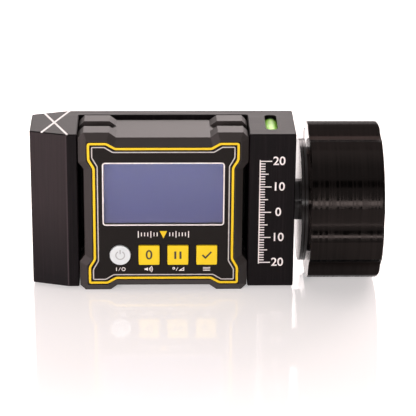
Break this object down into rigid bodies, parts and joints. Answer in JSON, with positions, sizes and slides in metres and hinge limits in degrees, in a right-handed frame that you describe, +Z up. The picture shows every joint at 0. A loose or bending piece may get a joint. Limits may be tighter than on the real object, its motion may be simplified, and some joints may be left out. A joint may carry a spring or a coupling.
{
  "type": "camber gauge",
  "caption": "Camber gauge: a black block with a digital level in its pocket, a cross vial on top and a scalloped magnetic hub adapter on a turning spindle.",
  "frame": {"origin": "middle of the footprint on the surface that the gauge stands on", "axes": "+X along the spindle towards the hub adapter, +Y from the display to the rear, +Z up"},
  "size_m": [0.1278, 0.0577, 0.062],
  "materials": {
    "black_anodised": "satin black anodised billet, brushed",
    "black_turned": "black anodised over fine turning marks",
    "black_disc": "polished black anodised",
    "vial_acrylic": "clear acrylic",
    "vial_green": "green level fluid",
    "cushion_rubber": "soft black",
    "zinc_steel": "bright zinc plated",
    "black_steel": "black oxide",
    "bronze": "sintered bronze",
    "friction_fibre": "pressed friction fibre",
    "magnet_nickel": "nickel plated magnet",
    "case_abs": "fine grained dark moulding",
    "label_film": "printed polycarbonate film",
    "window_acrylic": "clear acrylic with printed border",
    "lcd_glass": "blue-grey liquid crystal cell",
    "backlight_white": "white light guide",
    "inner_plastic": "natural moulding",
    "zebra_rubber": "striped conductive rubber",
    "board_green": "solder mask",
    "chip_epoxy": "black epoxy",
    "buzzer_black": "black moulding",
    "tin_can": "drawn tin can",
    "key_silver": "silver-white moulding",
    "key_yellow": "yellow moulding",
    "cell_jacket": "printed jacket",
    "contact_nickel": "nickel plated spring strip",
    "brass_insert": "knurled brass",
    "gasket_rubber": "silicone cord",
    "pad_foam": "thin foam pad"
  },
  "bodies": {
    "gauge": {"block_body": "black_anodised", "vial_tube": "vial_acrylic", "vial_fluid": "vial_green", "vial_cushions": "cushion_rubber", "vial_plug": "black_steel", "spindle_sleeve": "black_disc", "brake_ring": "friction_fibre", "pivot_bolt": "black_steel", "disc_spring": "zinc_steel", "front_case": "case_abs", "rear_case": "case_abs", "case_gasket": "gasket_rubber", "front_label": "label_film", "display_window": "window_acrylic", "lcd_glass": "lcd_glass", "lcd_backlight": "backlight_white", "lcd_frame": "inner_plastic", "zebra_strip": "zebra_rubber", "main_board": "board_green", "key_switches": "buzzer_black", "controller_chip": "chip_epoxy", "tilt_sensor": "chip_epoxy", "crystal_can": "tin_can", "buzzer": "buzzer_black", "battery_cells": "cell_jacket", "contact_springs": "contact_nickel", "contact_plates": "contact_nickel", "battery_cover": "case_abs", "cover_screws": "zinc_steel", "case_screws": "zinc_steel", "mount_screws": "black_steel", "mount_inserts": "brass_insert", "mounting_pad": "pad_foam", "foot_magnets": "magnet_nickel"},
    "adapter": {"clutch_disc": "black_disc", "clutch_screws": "black_steel", "pivot_bush": "bronze", "thrust_washer": "zinc_steel", "adapter_body": "black_turned", "hub_magnets": "magnet_nickel"},
    "power_key": {"power_button": "key_silver"},
    "zero_key": {"zero_button": "key_yellow"},
    "hold_key": {"hold_button": "key_yellow"},
    "set_key": {"set_button": "key_yellow"}
  },
  "joints": [
    {"name": "adapter_turn", "type": "hinge", "parent": "gauge", "child": "adapter", "pos_m": [0.03572, 0, 0.0308], "axis": [1, 0, 0], "continuous": true},
    {"name": "power_press", "type": "slide", "parent": "gauge", "child": "power_key", "axis": [0, 1, 0], "range_m": [0, 0.0004], "stiffness_N_per_m": 900},
    {"name": "zero_press", "type": "slide", "parent": "gauge", "child": "zero_key", "axis": [0, 1, 0], "range_m": [0, 0.0004], "stiffness_N_per_m": 900},
    {"name": "hold_press", "type": "slide", "parent": "gauge", "child": "hold_key", "axis": [0, 1, 0], "range_m": [0, 0.0004], "stiffness_N_per_m": 900},
    {"name": "set_press", "type": "slide", "parent": "gauge", "child": "set_key", "axis": [0, 1, 0], "range_m": [0, 0.0004], "stiffness_N_per_m": 900}
  ]
}
